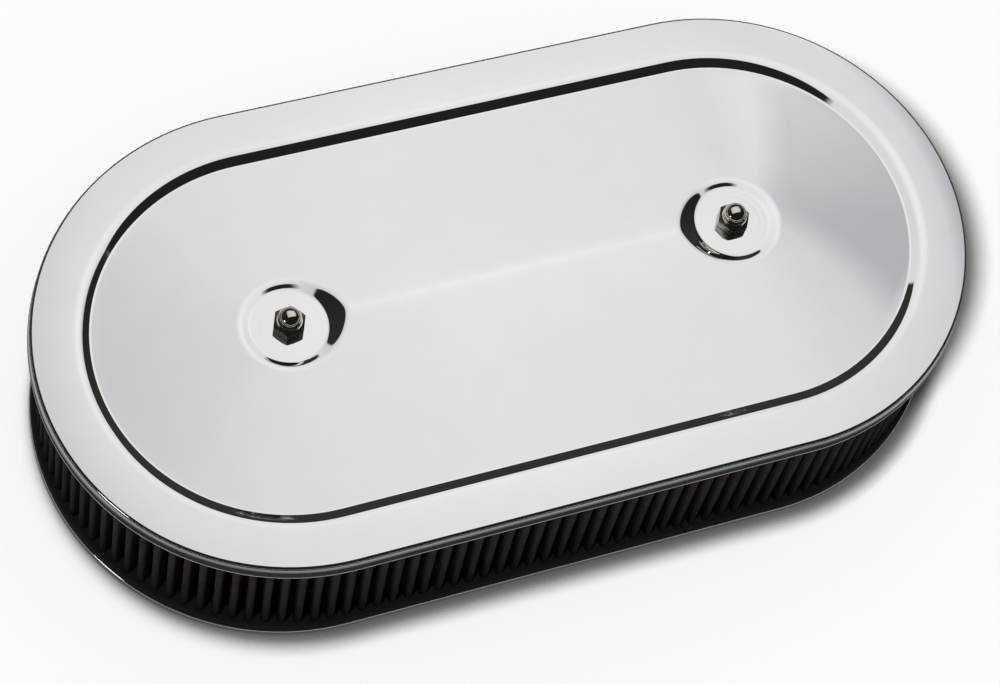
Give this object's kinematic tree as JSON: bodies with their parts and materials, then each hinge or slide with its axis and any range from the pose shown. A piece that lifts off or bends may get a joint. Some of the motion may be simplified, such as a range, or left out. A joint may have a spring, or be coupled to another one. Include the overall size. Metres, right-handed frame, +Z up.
{
  "type": "carburetor air cleaner",
  "caption": "Long oval air cleaner with a chromed lid and base, a pleated filter element between them, and a cap nut over each carburetor stud.",
  "frame": {"origin": "under the middle of the cleaner, on the plane that its two neck gaskets stand on", "axes": "+X along the oval from the left stud to the right one, +Y across it to the back, +Z up through the lid"},
  "size_m": [0.4706, 0.244, 0.1019],
  "materials": {
    "chrome_lid": "bright chrome plate over stamped steel, polished to a mirror",
    "chrome_base": "bright chrome plate over stamped steel",
    "dark_gauze": "oiled cotton gauze under a dark wire mesh, matt with fine ridges",
    "seal_rubber": "soft moulded black rubber",
    "gasket_rubber": "flat black rubber",
    "plated_stud": "zinc plated rod",
    "dark_nickel": "polished dark plating"
  },
  "bodies": {
    "cleaner": {"lid": "chrome_lid", "base_pan": "chrome_base", "pleated_media": "dark_gauze", "top_seal": "seal_rubber", "bottom_seal": "seal_rubber", "left_stud": "plated_stud", "right_stud": "plated_stud", "left_neck_gasket": "gasket_rubber", "right_neck_gasket": "gasket_rubber"},
    "left_nut": {"left_cap_nut": "dark_nickel"},
    "right_nut": {"right_cap_nut": "dark_nickel"}
  },
  "joints": [
    {"name": "left_nut_turn", "type": "hinge", "parent": "cleaner", "child": "left_nut", "pos_m": [-0.1127, 0, 0.0889], "axis": [0, 0, 1], "range_deg": [0, 360]},
    {"name": "right_nut_turn", "type": "hinge", "parent": "cleaner", "child": "right_nut", "pos_m": [0.1127, 0, 0.0889], "axis": [0, 0, 1], "range_deg": [0, 360]}
  ]
}
